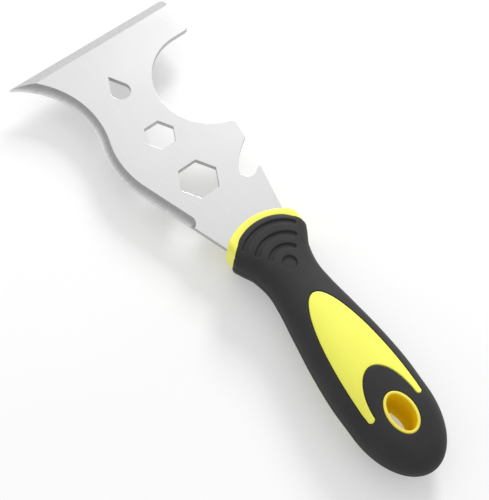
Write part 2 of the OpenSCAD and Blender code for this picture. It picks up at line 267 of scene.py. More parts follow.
# ------------------------------------------------------------------ objects
def make(name, verts, faces, material, stands_for, sharp_deg=32, soft=None, also=()):
    """A smooth-shaded mesh object on the root body, with edges sharper than sharp_deg kept crisp.
    soft is an optional test of an edge's middle, for edges that stay smooth at any angle.
    also lists other materials, each with a test of a face's middle and normal."""
    verts = np.asarray(verts, float)
    faces = [tuple(int(i) for i in f) for f in faces]
    mesh = bpy.data.meshes.new(name)
    mesh.from_pydata(to_row(verts).tolist(), [], faces)
    mesh.validate()
    mesh.update()
    mesh.polygons.foreach_set("use_smooth", [True] * len(mesh.polygons))
    normals = np.zeros(len(mesh.polygons) * 3)
    mesh.polygons.foreach_get("normal", normals)
    normals = normals.reshape(-1, 3)
    sides = {}
    for poly in mesh.polygons:
        for key in poly.edge_keys:
            sides.setdefault(key, []).append(poly.index)
    limit = math.cos(math.radians(sharp_deg))
    for e in mesh.edges:
        pair = sides.get(tuple(sorted(e.vertices)), [])
        if len(pair) == 2 and normals[pair[0]] @ normals[pair[1]] < limit:
            if soft is None or not soft(verts[list(e.vertices)].mean(0)):
                e.use_edge_sharp = True
    ob = bpy.data.objects.new(name, mesh)
    bpy.context.scene.collection.objects.link(ob)
    ob.data.materials.append(material)
    for other, test in also:
        ob.data.materials.append(other)
        for poly in mesh.polygons:
            if test(verts[list(poly.vertices)].mean(0), normals[poly.index]):
                poly.material_index = len(ob.data.materials) - 1
    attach(ob, "root")
    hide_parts(stands_for)
    return ob


# ------------------------------------------------------------------ materials
class Mat:
    """A short way to build a node tree."""

    def __init__(self, name):
        self.m = bpy.data.materials.new(name)
        self.m.use_nodes = True
        self.t = self.m.node_tree
        self.bsdf = next(n for n in self.t.nodes if n.type == "BSDF_PRINCIPLED")
        self.coord = self.node("ShaderNodeTexCoord").outputs["Object"]

    def node(self, kind, **values):
        n = self.t.nodes.new(kind)
        for k, v in values.items():
            setattr(n, k, v)
        return n

    def link(self, a, b):
        self.t.links.new(a, b)
        return b

    def mapped(self, scale, rotate=0.0):
        """Coordinates turned into the blade's frame, then scaled."""
        n = self.node("ShaderNodeMapping", vector_type="TEXTURE")
        n.inputs["Scale"].default_value = [1 / k for k in scale]
        n.inputs["Rotation"].default_value = (0, 0, rotate)
        self.link(self.coord, n.inputs["Vector"])
        return n.outputs["Vector"]

    def noise(self, scale, vector=None, detail=2.0, rough=0.5):
        n = self.node("ShaderNodeTexNoise")
        n.inputs["Scale"].default_value = scale
        n.inputs["Detail"].default_value = detail
        n.inputs["Roughness"].default_value = rough
        self.link(vector if vector is not None else self.coord, n.inputs["Vector"])
        return n.outputs["Fac"]

    def ramp(self, fac, stops):
        n = self.node("ShaderNodeValToRGB")
        el = n.color_ramp.elements
        while len(el) < len(stops):
            el.new(0.5)
        for e, (pos, col) in zip(el, stops):
            e.position = pos
            e.color = (*col, 1)
        self.link(fac, n.inputs["Fac"])
        return n.outputs["Color"]

    def span(self, fac, lo, hi, to_lo, to_hi):
        n = self.node("ShaderNodeMapRange")
        for i, v in ((1, lo), (2, hi), (3, to_lo), (4, to_hi)):
            n.inputs[i].default_value = v
        self.link(fac, n.inputs[0])
        return n.outputs[0]

    def bump(self, height, strength, distance):
        n = self.node("ShaderNodeBump")
        n.inputs["Strength"].default_value = strength
        n.inputs["Distance"].default_value = distance
        self.link(height, n.inputs["Height"])
        return n.outputs["Normal"]

    def set(self, **values):
        for k, v in values.items():
            self.bsdf.inputs[k.replace("_", " ")].default_value = v


def steel_material(name, tone, scale=(60, 2600, 2600), rough=0.30, depth=0.05, streaks=0.012,
                   shade=None):
    """Bright stainless steel with fine grinding lines, long in the direction where scale is small.
    shade is an optional ramp of tone over the surface's height component of the normal: painted shade and
    highlight."""
    m = Mat(name)
    m.set(Metallic=1.0)
    fine = m.noise(1.0, m.mapped(scale, SKEW), 3, 0.6)
    cloud = m.noise(38, None, 3, 0.5)
    dark, bright = tone * (1 - streaks), min(tone * (1 + streaks), 0.95)
    streak = m.ramp(fine, [(0.25, (dark,) * 3), (0.75, (bright,) * 3)])
    if shade is not None:
        # painted shade and highlight: darker where the surface is steeper, as on the hollow's shaded side,
        # and lighter where it lies flat
        geo = m.node("ShaderNodeNewGeometry")
        parts = m.node("ShaderNodeSeparateXYZ")
        m.link(geo.outputs["Normal"], parts.inputs[0])
        mix = m.node("ShaderNodeMix", data_type="RGBA", blend_type="MULTIPLY")
        mix.inputs[0].default_value = 1.0
        m.link(streak, mix.inputs[6])
        m.link(m.ramp(parts.outputs[2], shade), mix.inputs[7])
        streak = mix.outputs[2]
    m.link(streak, m.bsdf.inputs["Base Color"])
    m.link(m.span(cloud, 0.0, 1.0, rough, rough + 0.08), m.bsdf.inputs["Roughness"])
    m.link(m.bump(fine, depth, 0.00006), m.bsdf.inputs["Normal"])
    return m.m


def rubber_material():
    """Charcoal soft elastomer with a fine moulded grain."""
    m = Mat("black_rubber")
    grain = m.noise(3200, None, 2, 0.6)
    cloud = m.noise(60, None, 3, 0.55)
    tones = m.ramp(cloud, [(0.25, (0.036, 0.0353, 0.0365)), (0.75, (0.048, 0.0470, 0.049))])
    m.link(tones, m.bsdf.inputs["Base Color"])
    m.link(m.span(cloud, 0.3, 0.7, 0.50, 0.60), m.bsdf.inputs["Roughness"])
    m.link(m.bump(grain, 0.35, 0.00008), m.bsdf.inputs["Normal"])
    m.set(Specular_IOR_Level=0.14)
    return m.m


def yellow_material(name, painted_shade_wall=False, golden=False):
    """Moulded yellow plastic with a faint flow pattern. The wall variant is a darker amber, painted shade for
    the walls of the hanging hole, and rougher, with no specular gloss.
    """
    m = Mat(name)
    cloud = m.noise(45, None, 3, 0.5)
    grain = m.noise(1500, None, 2, 0.5)
    # the wall variant: yellow darkened to amber, painted shade of the hanging hole's walls
    if painted_shade_wall:
        stops = [(0.2, (0.93, 0.66, 0.010)), (0.8, (0.98, 0.76, 0.018))]
    elif golden:
        stops = [(0.2, (0.96, 0.83, 0.10)), (0.8, (0.985, 0.88, 0.13))]
    else:
        stops = [(0.2, (0.965, 0.945, 0.115)), (0.8, (0.99, 0.985, 0.14))]
    m.link(m.ramp(cloud, stops), m.bsdf.inputs["Base Color"])
    m.link(m.span(cloud, 0.3, 0.7, 0.34 + 0.3 * painted_shade_wall, 0.42 + 0.3 * painted_shade_wall), m.bsdf.inputs["Roughness"])
    m.link(m.bump(grain, 0.10, 0.00004), m.bsdf.inputs["Normal"])
    m.set(Specular_IOR_Level=0.0 if painted_shade_wall else 0.45, Subsurface_Weight=0.08)
    m.bsdf.inputs["Subsurface Radius"].default_value = (0.002, 0.0014, 0.0003)
    m.bsdf.inputs["Subsurface Scale"].default_value = 1.0
    return m.m


STEEL = steel_material("satin_steel", 0.655, rough=0.23, streaks=0.02)
BEVEL = steel_material("bevel_steel", 0.78, (110, 1300, 1300), rough=0.28, depth=0.15, streaks=0.09)
# steel of the ground hollow: its own coarser finish, with painted shade on the steep side and a painted
# highlight towards the flat outer edge
GRIND_PAINTED_SHADE = steel_material("wheel_ground_steel_painted_shade", 0.70, (1300, 110, 900), rough=0.42, depth=0.25, streaks=0.10,
                       shade=[(0.5, (0.60,) * 3), (0.8, (0.70,) * 3), (1.0, (1.0,) * 3)])
CUT = steel_material("punched_edge_steel", 0.52, (1600, 1600, 80), rough=0.45, depth=0.3, streaks=0.08)
RUBBER = rubber_material()
YELLOW = yellow_material("yellow_plastic")
# amber yellow for the hanging hole's walls: painted shade
AMBER_PAINTED_SHADE = yellow_material("yellow_lining_painted_shade", painted_shade_wall=True)
GOLDEN = yellow_material("yellow_ring", golden=True)


# ------------------------------------------------------------------ blade
def blade_outline():
    """The plate's outline in the blade frame, anticlockwise, with the tang."""
    swell_a = angle(SWELL_C, SWELL_END)
    tip_a = 360 - math.degrees(math.acos((FRONT_X - 0.6 - DIP_C[0]) / DIP_R))
    lobe_a = angle(LOBE_C, ROLLER_C)
    tang = []
    for a in np.radians(np.linspace(90, 270, 25)):
        tang.append([TANG_W - TANG_LEN + TANG_W * math.cos(a), TANG_W * math.sin(a)])
    tang = np.array([[NECK_BACK_X + 3, TANG_W]] + tang + [[NECK_BACK_X + 3, -TANG_W]])
    c, s = math.cos(SKEW), math.sin(SKEW)
    tang = np.stack([c * tang[:, 0] + s * tang[:, 1], -s * tang[:, 0] + c * tang[:, 1] - SHIFT], 1)
    parts = [
        [[NECK_BACK_X, neck_low(NECK_BACK_X)], [NECK_END_X, neck_low(NECK_END_X)]],
        arc(OPENER_C, OPENER_R, angle(OPENER_C, HOOK_ROOT), angle(OPENER_C, WALL_START) - 360, 3),
        arc(WALL_C, WALL_R, angle(WALL_C, WALL_START), angle(WALL_C, WALL_END), 1),
        arc(LOBE_C, LOBE_R, LOBE_START_A, lobe_a, 6),
        arc(ROLLER_C, ROLLER_R, lobe_a + 180, 0, 1.2),
        arc((LEG_BACK_X + LEG_R, EDGE_LOW + LEG_R), LEG_R, 180, 270, 5),
        arc((FRONT_X - LEG_FRONT_R, EDGE_LOW + LEG_FRONT_R), LEG_FRONT_R, -90, 0, 7),
        [[FRONT_X, EDGE_HIGH]],
        arc(DIP_C, DIP_R, tip_a, swell_a + 180, 1),
        arc(SWELL_C, SWELL_R, swell_a, 90 + math.degrees(NECK_RISE), 1),
        [[NECK_BACK_X, neck_high(NECK_BACK_X)]]]
    body = np.vstack([np.array(p, float) for p in parts])
    # the tang joins the neck's back edge
    high = [NECK_BACK_X, np.interp(NECK_BACK_X, *zip(*sorted(tang[:2].tolist())))]
    low = [NECK_BACK_X, np.interp(NECK_BACK_X, *zip(*sorted(tang[-2:].tolist())))]
    body = np.vstack([body, [high], tang[1:-1], [low]])
    return refine(dedupe(body), 1.2)


def s_distance(p):
    """Distance in from the S-shaped edge, with the wheel's offset: straight run, swell and hollow."""
    start = np.array([GRIND_START_X, neck_high(GRIND_START_X)])
    t = np.array([math.cos(NECK_RISE), math.sin(NECK_RISE)])
    n = np.array([-t[1], t[0]])
    q = p - start
    along = q @ t
    straight = -(q @ n) + WHEEL_OUT
    run = np.linalg.norm(q - n * WHEEL_OUT, axis=1)
    out = np.where(along < 0, run, straight)
    swell = SWELL_R - np.linalg.norm(p - SWELL_C, axis=1) + WHEEL_OUT
    dip = np.linalg.norm(p - DIP_C, axis=1) - DIP_R + WHEEL_OUT
    past_start = (p - SWELL_C) @ t > (SWELL_START - SWELL_C) @ t
    d = (DIP_C - SWELL_C) / np.linalg.norm(DIP_C - SWELL_C)
    side = np.array([d[1], -d[0]])
    past_end = (p - SWELL_C) @ side > 0
    out = np.where(past_start & ~past_end, swell, out)
    return np.where(past_start & past_end, dip, out)


def bevel_height(x):
    """Height of the front bevel's plane."""
    return LOW + LAND + (FRONT_X - x) * (BLADE_T - LAND) / BEVEL_W


def face_height(p):
    """Height of the plate's ground face, in mm above the mid-plane."""
    z = np.minimum(TOP, bevel_height(p[:, 0]))
    s = np.maximum(s_distance(p), 0)
    in_wheel = s < GRIND_W + WHEEL_OUT
    cut = TOP + WHEEL_UP - np.sqrt(np.maximum(WHEEL_R ** 2 - s ** 2, 0))
    return np.where(in_wheel & (p[:, 1] > GRIND_FACE_Y), np.minimum(z, cut), z)


def round_drop(d, r):
    """How far a rounded edge of radius r has dropped at distance d from the edge."""
    k = 1 - np.clip(d / r, 0, 1)
    return r * (1 - np.sqrt(1 - k * k))


def blade_holes():
    """The two hexagons and the drop, clockwise."""
    holes = []
    for x, af in HEXES:
        hexagon = arc((x, 0), af / math.sqrt(3), 30, 390, 60)[:-1]
        holes.append(refine(hexagon[::-1], 1.0))
    half_a = math.degrees(math.acos(DROP_R / DROP_TIP))
    drop = np.vstack([[[DROP_X + DROP_TIP, 0]], arc((DROP_X, 0), DROP_R, half_a, 360 - half_a, 5)])
    holes.append(refine(dedupe(drop)[::-1], 1.0))
    return holes


def grind_lines():
    """Lines along the hollow, each a copy of the S-shaped edge moved in, and the crease where
    the hollow meets the bevel."""
    rise = math.degrees(NECK_RISE)
    swell_a = angle(SWELL_C, SWELL_END)
    t = np.array([math.cos(NECK_RISE), math.sin(NECK_RISE)])
    n = np.array([-t[1], t[0]])
    start = np.array([GRIND_START_X, neck_high(GRIND_START_X)])
    lines, crease = [], []
    for s in GRIND_LINES:
        z = TOP + WHEEL_UP - math.sqrt(max(WHEEL_R ** 2 - min(s + WHEEL_OUT, WHEEL_R) ** 2, 0))
        x_end = FRONT_X - max(0.0, (min(z, TOP) - LOW - LAND) * BEVEL_W / (BLADE_T - LAND))
        end_a = 360 - math.degrees(math.acos(min(1, (x_end - DIP_C[0]) / (DIP_R + s))))
        run = arc(start + n * WHEEL_OUT, s + WHEEL_OUT, rise + 183, rise + 270, 6)
        run = run[(start - run) @ n > 0.3]
        line = np.vstack([
            run,
            refine(np.array([start - n * s, SWELL_START - n * s]), 0.8, False),
            arc(SWELL_C, SWELL_R - s, 90 + rise, swell_a, 1)[1:],
            arc(DIP_C, DIP_R + s, swell_a + 180, end_a, 1)[1:]])
        lines.append(line)
        if s <= GRIND_W:
            crease.append(line[-1])
    return lines, np.array([[FRONT_X - 0.25, EDGE_HIGH - 0.35]] + crease)


def near_round(p):
    """Whether a point is on one of the plate's small edge rounds."""
    z = float(face_height(to_blade(p))[0])
    if abs(p[2] - z) < 0.02 and z < TOP - 0.02:
        return False
    return 0.0005 < min(abs(p[2] - TOP), abs(p[2] - LOW)) < 0.13


def on_bevel(p, n):
    q = to_blade(p)
    return n[2] > 0.5 and q[0, 0] > FRONT_X - BEVEL_W - 0.01 and abs(face_height(q)[0] - p[2]) < 0.05


def on_grind(p, n):
    q = to_blade(p)
    in_wheel = s_distance(q)[0] < GRIND_W + WHEEL_OUT
    under_bevel = face_height(q)[0] < bevel_height(q[0, 0]) - 0.01
    return n[2] > 0.2 and p[2] < TOP - 0.03 and q[0, 1] > 0 and q[0, 0] < FRONT_X and in_wheel and under_bevel


def build_blade():
    """The plate: a ground face, a plain face on the same outline, and walls between them."""
    outline = blade_outline()
    count = len(outline)
    holes = blade_holes()
    loops = [outline] + holes
    lines, crease = grind_lines()
    lines.append(crease)
    bevel_x = FRONT_X - BEVEL_W
    for dx in (-0.2, 0.0, 0.2):
        ends = [[bevel_x + dx, EDGE_LOW + 0.5], [bevel_x + dx, crease[-1][1] - 0.02]]
        lines.append(refine(np.array(ends), 1.2, False))

    def solid_part(v, f):
        """The faces that lie in the plate and not in a hole."""
        c = v[f].mean(1)
        keep = inside(c, outline) & (distance(c, outline) > 1e-4)
        for h in holes:
            keep &= ~inside(c, h)
        return f[keep]

    def with_rings(rims):
        return rims + [offset(rim, EDGE_ROUND * share) for share in ROUND_SHARES for rim in rims]

    # The cutting edges are sharp: only the other edges get a round
    sharp = (s_distance(outline) < WHEEL_OUT + 0.05) & (outline[:, 1] > 5)
    sharp &= outline[:, 0] > GRIND_START_X - 3
    sharp |= outline[:, 0] > FRONT_X - 0.05
    plain = [i for i in range(count) if not (sharp[i] and sharp[(i + 1) % count])]

    def edge_distance(v):
        """The distance from each point to the nearest rounded edge."""
        d = np.full(len(v), 1e9)
        for i in plain:
            d = np.minimum(d, distance(v, np.array([outline[i], outline[(i + 1) % count]]), False))
        for h in holes:
            d = np.minimum(d, distance(v, h))
        return d

    fill = grid((NECK_BACK_X - 48, FRONT_X, EDGE_LOW, EDGE_HIGH + 2), 2.2)
    keep = inside(fill, outline)
    for h in holes:
        keep &= ~inside(fill, h)
    fill = fill[keep]
    near = np.minimum.reduce([distance(fill, l) for l in loops] + [distance(fill, lines[-2], False)])
    near = np.minimum(near, np.abs(s_distance(fill) - GRIND_W) + 0.3)
    near = np.minimum(near, np.abs(fill[:, 0] - bevel_x))
    fill = fill[near > 0.8]

    v, f = triangulate(with_rings(loops), lines, fill)
    v, f = used_only(v, solid_part(v, f))
    top_z = np.maximum(face_height(v) - round_drop(edge_distance(v), EDGE_ROUND), LOW + 0.12)
    edges = boundary(f)
    rim_ids = chains(edges)

    v2, f2 = triangulate(with_rings([v[l] for l in rim_ids]), [], np.zeros((0, 2)))
    v2, f2 = used_only(v2, solid_part(v2, f2))
    low_z = LOW + round_drop(edge_distance(v2), EDGE_ROUND)

    # The walls join each rim point to the plain face's point at the same place
    at = {(round(q[0], 3), round(q[1], 3)): i for i, q in enumerate(v2)}
    pair = {}
    for i in (i for rim in rim_ids for i in rim):
        j = at.get((round(v[i][0], 3), round(v[i][1], 3)))
        if j is None:
            j = int(np.argmin(np.linalg.norm(v2 - v[i], axis=1)))
        pair[i] = j
    base = len(v)
    verts = np.vstack([
        np.column_stack([from_blade(v), top_z]),
        np.column_stack([from_blade(v2), low_z])])
    faces = [tuple(t) for t in f] + [(c + base, b + base, a + base) for a, b, c in f2]
    faces += [(b, a, pair[a] + base, pair[b] + base) for a, b in edges]
    return make("blade_steel", verts, faces, STEEL, "blade", 18, near_round,
                [(BEVEL, on_bevel), (GRIND_PAINTED_SHADE, on_grind), (CUT, lambda p, n: abs(n[2]) < 0.15)])


# ------------------------------------------------------------------ handle surface
def catmull(p, t):
    """Catmull-Rom curve through the middle two of four values."""
    a, b, c, d = p
    square, cube = 2 * a - 5 * b + 4 * c - d, 3 * b - a - 3 * c + d
    return 0.5 * (2 * b + (c - a) * t + square * t ** 2 + cube * t ** 3)


def section(u):
    """x, half width, half height and squareness at unrolled length u, ahead of or in the butt."""
    u = np.asarray(u, float)
    st = np.array(STATIONS)
    xs = st[:, 0]
    x = np.clip(u, xs[0], xs[-1])
    i = np.clip(np.searchsorted(xs, x, side="right") - 1, 0, len(xs) - 2)
    t = (x - xs[i]) / (xs[i + 1] - xs[i])
    last = len(xs) - 1
    vals = [catmull([st[np.maximum(i - 1, 0), k], st[i, k], st[i + 1, k], st[np.minimum(i + 2, last), k]], t)
            for k in (1, 2, 3)]
    al = np.clip((CAP_X - u) / CAP_LEN, 0, math.pi / 2)
    x = np.where(u < CAP_X, CAP_X - (BUTT_LEN + CAP_X) * np.sin(al), x)
    ca = np.maximum(np.cos(al), 1e-4)
    w = np.where(u < CAP_X, CAP_W * ca, vals[0])
    h = np.where(u < CAP_X, CAP_H * ca, vals[1])
    return x, w, h, np.where(u < CAP_X, st[0, 3], vals[2])


def surface(uv):
    """Point of the handle's outside for unrolled (length, width)."""
    x, w, h, n = section(uv[:, 0])
    a = uv[:, 1] / ROLL
    c, s = np.cos(a), np.sin(a)
    k = (np.abs(c) ** n + np.abs(s) ** n) ** (-1 / n)
    return np.stack([x, w * c * k, h * s * k], 1)


def normals_at(uv):
    """Outward unit normals of the handle's surface."""
    e = 0.02   # mm, half the step of the finite difference
    du = surface(uv + [e, 0]) - surface(uv - [e, 0])
    dv = surface(uv + [0, e]) - surface(uv - [0, e])
    n = np.cross(du, dv)
    size = np.linalg.norm(n, axis=1)
    n = np.where(size[:, None] < 1e-7, np.array([-1.0, 0, 0]), n / np.maximum(size, 1e-12)[:, None])
    p = surface(uv)
    outward = (n * p * [0, 1, 1]).sum(1)
    return n * np.where(outward < 0, -1, 1)[:, None]


def unroll(plan):
    """Unrolled place of points given in plan, on the upper face."""
    x = plan[:, 0]
    al = np.arcsin(np.clip((CAP_X - x) / (BUTT_LEN + CAP_X), 0, 1))
    u = np.where(x < CAP_X, CAP_X - CAP_LEN * al, x)
    _, w, h, n = section(u)
    yy = np.clip(plan[:, 1] / w, -1, 1)
    zz = (1 - np.abs(yy) ** n) ** (1 / n)
    return np.stack([u, np.arctan2(zz, yy) * ROLL], 1)


# Plans of what lies on each face
def ellipse(cx, a, b, count):
    """Closed ellipse about (cx, 0) with half axes a and b."""
    t = np.linspace(0, 2 * math.pi, count, endpoint=False)
    return np.stack([cx + a * np.cos(t), b * np.sin(t)], 1)


def inlay_plan():
    """Long half ellipse with an arch cut out behind it, and round prong ends, anticlockwise."""
    half, nose, widest, end = 11.7, -14.0, -60.0, -64.0
    arch_len, arch_half, prong_end = 16.5, 8.8, 1.55
    behind = 0.1   # the ellipse is this much shorter behind its widest place
    t = np.radians(np.linspace(-97, 97, 150))
    reach = (nose - widest) * np.cos(t) * np.where(np.cos(t) > 0, 1, behind)
    outer = np.stack([widest + reach, half * np.sin(t)], 1)
    outer = outer[outer[:, 0] > end + prong_end]
    a = np.radians(np.linspace(90, -90, 70))
    arch = np.stack([end + arch_len * np.cos(a), arch_half * np.sin(a)], 1)
    arch = arch[arch[:, 0] > end + prong_end]
    cap_y = (outer[-1][1] + arch[0][1]) / 2
    cap_r = (outer[-1][1] - arch[0][1]) / 2
    cap = arc((end + prong_end, cap_y), cap_r, 90, 270, 12)[1:-1]
    low = cap * [1, -1]
    loop = np.vstack([outer, cap, arch, low[::-1]])
    return refine(dedupe(loop), 0.7)


def groove_plan(r, a):
    """A thumb groove: a band inside radius r, to a degrees each way, with round ends."""
    w = GROOVE_W
    mid = r - w / 2
    e = mid * np.array([math.cos(math.radians(a)), math.sin(math.radians(a))])
    return refine(dedupe(np.vstack([
        arc((0, 0), r, -a, a, 2.5),
        arc(e, w / 2, a, a + 180, 15),
        arc((0, 0), r - w, a, -a, 2.5),
        arc(e * [1, -1], w / 2, 180 - a, 360 - a, 15)])), 0.6)


INLAY = inlay_plan()
RING_OUT = ellipse(HANG_X, GROMMET_OUT[0] / 2, GROMMET_OUT[1] / 2, 96)
RING_IN = ellipse(HANG_X, GROMMET_IN[0] / 2, GROMMET_IN[1] / 2, 96)
DIMPLE = ellipse(0, DIMPLE_R, DIMPLE_R, 48)
GROOVES = [groove_plan(r, a) for r, a in zip(GROOVE_R, GROOVE_A)] + [DIMPLE]


def front_curve(r):
    """Unrolled front end of the grip, where it is r from the dimple's axis."""
    out = []
    for v in np.linspace(0, math.pi * ROLL, 200):
        lo, hi = 8.0, min(r, STATIONS[-1][0] - 0.1)
        for _ in range(40):
            m = (lo + hi) / 2
            p = surface(np.array([[m, v]]))[0]
            lo, hi = (m, hi) if p[0] ** 2 + p[1] ** 2 < r * r else (lo, m)
        out.append([lo, v])
    return np.array(out)


def thicken(uv, out_disp, in_depth):
    """The surface moved out by out_disp, and the surface in_depth below it."""
    nrm = normals_at(uv)
    p = surface(uv)
    return p + nrm * out_disp[:, None], p - nrm * in_depth


def faced_up(points, f):
    """The faces, all turned over if the first one looks down."""
    a, b, c = points[f[0]]
    return f[:, ::-1] if np.cross(b - a, c - a)[2] < 0 else f


def close_patch(outer, inner, f, mirror_side):
    """Joins two shells along the patch's rims. Rims on the mid-plane, where mirror_side is true,
    are left open, for the mirrored half to be welded there."""
    n = len(outer)
    faces = [tuple(t) for t in f] + [(c + n, b + n, a + n) for a, b, c in f]
    for a, b in boundary(f):
        if mirror_side is not None and mirror_side[a] and mirror_side[b]:
            continue
        faces.append((b, a, a + n, b + n))
    return np.vstack([outer, inner]), faces


def weld(verts, faces, tol=1e-4):
    """Merges points that fall together and drops the faces that vanish."""
    key = np.round(verts / tol).astype(np.int64)
    _, first, inv = np.unique(key, axis=0, return_index=True, return_inverse=True)
    inv = inv.reshape(-1)
    out = []
    for f in faces:
        g = []
        for i in f:
            j = int(inv[i])
            if not g or g[-1] != j:
                g.append(j)
        if len(g) > 1 and g[0] == g[-1]:
            g.pop()
        if len(g) > 2 and len(set(g)) == len(g):
            out.append(tuple(g))
    return verts[first], out


POLE = CAP_X - CAP_LEN * math.pi / 2   # unrolled length of the butt's end
FAR_SIDE = math.pi * ROLL              # unrolled width of the handle's far side


def grip_rim(front):
    """The grip's upper half, unrolled: front end, both sides and the butt's end, anticlockwise."""
    sides = []
    for v, end in ((0.0, front[0][0]), (FAR_SIDE, front[-1][0])):
        sides.append(refine(np.array([[POLE, v], [end, v]]), 0.9, False))
    rim = np.vstack([sides[0][:-1], front, sides[1][::-1][1:]])
    rim = dedupe(np.vstack([rim, refine(np.array([[POLE, FAR_SIDE], [POLE, 0]]), 6, False)[1:-1]]))
    return rim[::-1] if area(rim) < 0 else rim


def grip_lines(front):
    """Lines of points along the front lip and beside the parting groove."""
    lines = []
    for r in (0.12, 0.3, 0.55, 0.85, LIP_ROUND):
        lines.append(front_curve(GRIP_R - r)[1:-1])
    for v in (0.1, 0.24, PARTING_W, 0.8):
        for side in (v, FAR_SIDE - v):
            end = np.interp(side, front[:, 1], front[:, 0])
            lines.append(refine(np.array([[POLE + 1.0, side], [end - 1.5, side]]), 1.2, False))
    return lines


def grip_fill(front, rim, windows):
    """Points between the lines, fewer of them where the butt narrows."""
    fill = grid((POLE + 0.6, 21, 0.9, FAR_SIDE - 0.9), 1.0)
    fill = fill[inside(fill, rim)]
    thin = np.cos(np.clip((CAP_X - fill[:, 0]) / CAP_LEN, 0, math.pi / 2))
    rng = np.random.default_rng(7)
    fill = fill[(thin > 0.45) | (rng.random(len(fill)) < thin * 2.0)]
    near = distance(fill, front, False) - 1.0
    for window in windows:
        near = np.minimum(near, distance(fill, window) - 0.6)
    for g in GROOVES:
        near = np.minimum(near, distance(fill, unroll(g)) - 0.55)
    return fill[near > 0.15]


def grip_relief(uv):
    """How far each point of the grip stands out: window rounds, grooves, lip and parting line."""
    p = surface(uv)
    plan = p[:, :2]
    disp = np.zeros(len(uv))
    on_face = (uv[:, 1] > 1) & (uv[:, 1] < FAR_SIDE - 1)
    for shape in (INLAY, RING_OUT):
        disp -= np.where(on_face, round_drop(distance(plan, shape), WINDOW_ROUND) * 0.8, 0)
    for g in GROOVES:
        d = distance(plan, g)
        depth_in = np.where(inside(plan, g), d, -d)
        k = np.clip((depth_in + 0.1) / 0.46, 0, 1)
        disp -= np.where(on_face, GROOVE_D * (k * k * (3 - 2 * k)), 0)
    from_lip = np.maximum(GRIP_R - np.hypot(p[:, 0], p[:, 1]), 0)
    from_lip = np.where(p[:, 0] > 0, from_lip, 99)
    disp -= LIP_DROP * np.clip(1 - from_lip / LIP_ROUND, 0, 1) ** 1.4
    side = np.minimum(uv[:, 1], FAR_SIDE - uv[:, 1])
    return disp - PARTING_D * np.clip(1 - side / PARTING_W, 0, 1)


def build_grip():
    """The skin: its upper half as one patch with two windows, and the mirrored half welded on."""
    front = front_curve(GRIP_R)
    rim = grip_rim(front)
    windows = [unroll(INLAY), unroll(RING_OUT)]
    loops = [rim] + windows
    for d in (0.07, 0.2, 0.36, 0.6):
        loops += [unroll(offset(INLAY, -d)), unroll(offset(RING_OUT, -d))]
    for g in GROOVES:
        for d in (-0.16, -0.06, 0.06, 0.2, 0.34, 0.5):
            loops.append(unroll(offset(g, d)))
    uv, f = triangulate(loops, grip_lines(front), grip_fill(front, rim, windows))
    c = uv[f].mean(1)
    keep = inside(c, rim)
    for w in windows:
        keep &= ~inside(c, w)
    uv, f = used_only(uv, f[keep])
    outer, inner = thicken(uv, grip_relief(uv), SKIN)
    at_pole = uv[:, 0] < POLE + 1e-3
    on_mid = (uv[:, 1] < 1e-3) | (uv[:, 1] > FAR_SIDE - 1e-3) | at_pole
    for shell in (outer, inner):
        shell[on_mid, 2] = 0
    outer[at_pole] = [-BUTT_LEN, 0, 0]
    inner[at_pole] = [-BUTT_LEN + SKIN, 0, 0]
    # The outer shell faces out
    a, b, c = outer[f[len(f) // 2]]
    if np.cross(b - a, c - a)[2] < 0 and a[2] > 0:
        f = f[:, ::-1]
    verts, faces = close_patch(outer, inner, f, on_mid)
    n = len(verts)
    mirrored = [tuple(i + n for i in q[::-1]) for q in faces]
    verts, faces = weld(np.vstack([verts, verts * [1, 1, -1]]), faces + mirrored)
    return make("grip_rubber", verts, faces, RUBBER, "grip", 40)


def build_inlay(name, node, sign):
    """The panel in the grip's window, on the upper face, or the lower one if sign is -1."""
    rim_plan = offset(INLAY, INLAY_GAP)
    loops = [unroll(rim_plan)]
    for d in (0.06, 0.16, 0.32, 0.6):
        loops.append(unroll(offset(rim_plan, d)))
    box = (loops[0][:, 0].min(), loops[0][:, 0].max(), loops[0][:, 1].min(), loops[0][:, 1].max())
    fill = grid(box, 1.1)
    fill = fill[inside(fill, loops[0])]
    fill = fill[distance(fill, loops[0]) > 1.0]
    uv, f = triangulate(loops, [], fill)
    uv, f = used_only(uv, f[inside(uv[f].mean(1), loops[0])])
    d = distance(surface(uv)[:, :2], rim_plan)
    outer, inner = thicken(uv, 0.05 - round_drop(d, WINDOW_ROUND), SKIN - 0.02)
    verts, faces = close_patch(outer, inner, faced_up(outer, f), None)
    if sign < 0:
        verts = verts * [1, 1, -1]
        faces = [q[::-1] for q in faces]
    return make(name, verts, faces, YELLOW, node, 50)


